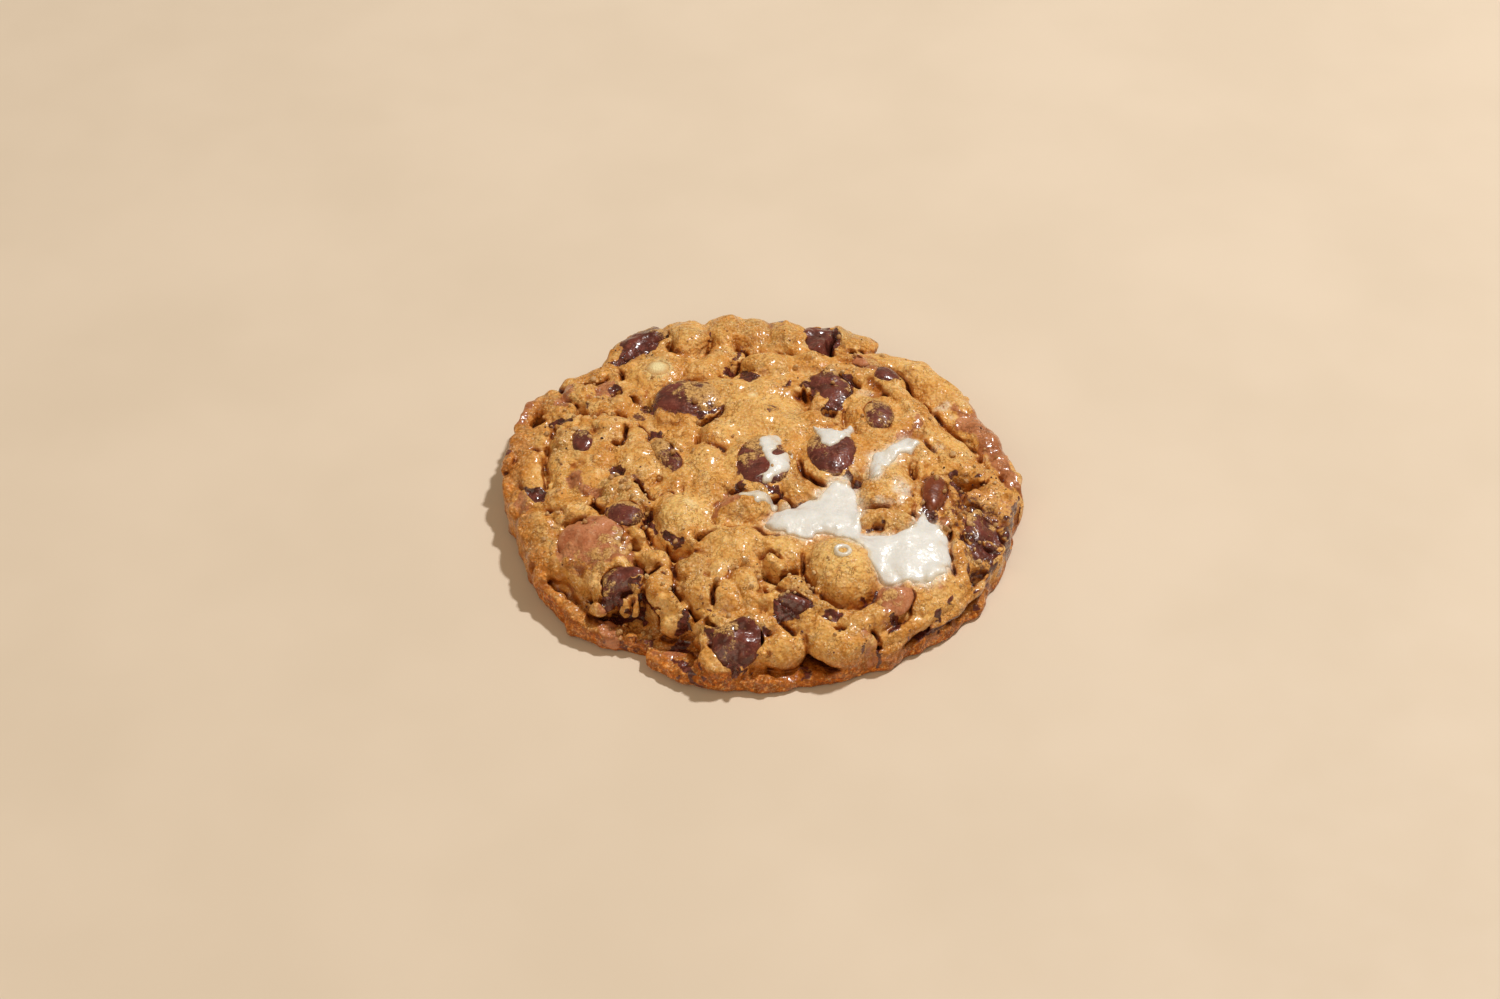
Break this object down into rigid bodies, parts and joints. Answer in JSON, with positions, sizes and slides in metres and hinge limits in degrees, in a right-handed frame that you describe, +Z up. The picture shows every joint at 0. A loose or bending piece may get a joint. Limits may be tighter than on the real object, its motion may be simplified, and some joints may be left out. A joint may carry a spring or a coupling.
{
  "type": "smores cookie",
  "caption": "Large round bakery cookie with a cobbled baked-dough crown, thin browned skirt, sunken chocolate wafers and chunks, and torn melted marshmallow.",
  "frame": {"origin": "middle of the bounding box at the level of the flat baked underside", "axes": "+Z up through the crown, +Y towards the thick side of the cookie, +X to the right of a viewer at the thin side"},
  "size_m": [0.121, 0.1206, 0.0183],
  "materials": {
    "dough": "baked cookie dough, golden brown, grainy and slightly buttery, darker at the rim",
    "dark_chocolate": "dark chocolate, waxy satin",
    "milk_chocolate": "milk chocolate, waxy satin",
    "white_chocolate": "white chocolate, waxy",
    "marshmallow": "melted marshmallow, sticky sheen"
  },
  "bodies": {
    "root": {"cookie_dough": "dough", "chip_dark_rear": "dark_chocolate", "chip_dark_middle": "dark_chocolate", "chip_dark_middle_right": "dark_chocolate", "chip_dark_left": "dark_chocolate", "chip_dark_front_left": "dark_chocolate", "chip_dark_low_left": "dark_chocolate", "chip_dark_front": "dark_chocolate", "chip_dark_front_mid": "dark_chocolate", "chip_dark_right": "dark_chocolate", "chip_dark_rear_right": "dark_chocolate", "chunk_dark_rear_mid": "dark_chocolate", "chip_dark_dusted": "dark_chocolate", "chunk_dark_back": "dark_chocolate", "chunk_dark_back_left": "dark_chocolate", "chip_dark_mid_left": "dark_chocolate", "chunk_dark_right_rim": "dark_chocolate", "chip_milk_front_left": "milk_chocolate", "chip_milk_front_right": "milk_chocolate", "chip_milk_rear_right": "milk_chocolate", "chip_white_rear": "white_chocolate", "marshmallow_pool": "marshmallow", "marshmallow_string": "marshmallow"}
  },
  "joints": []
}
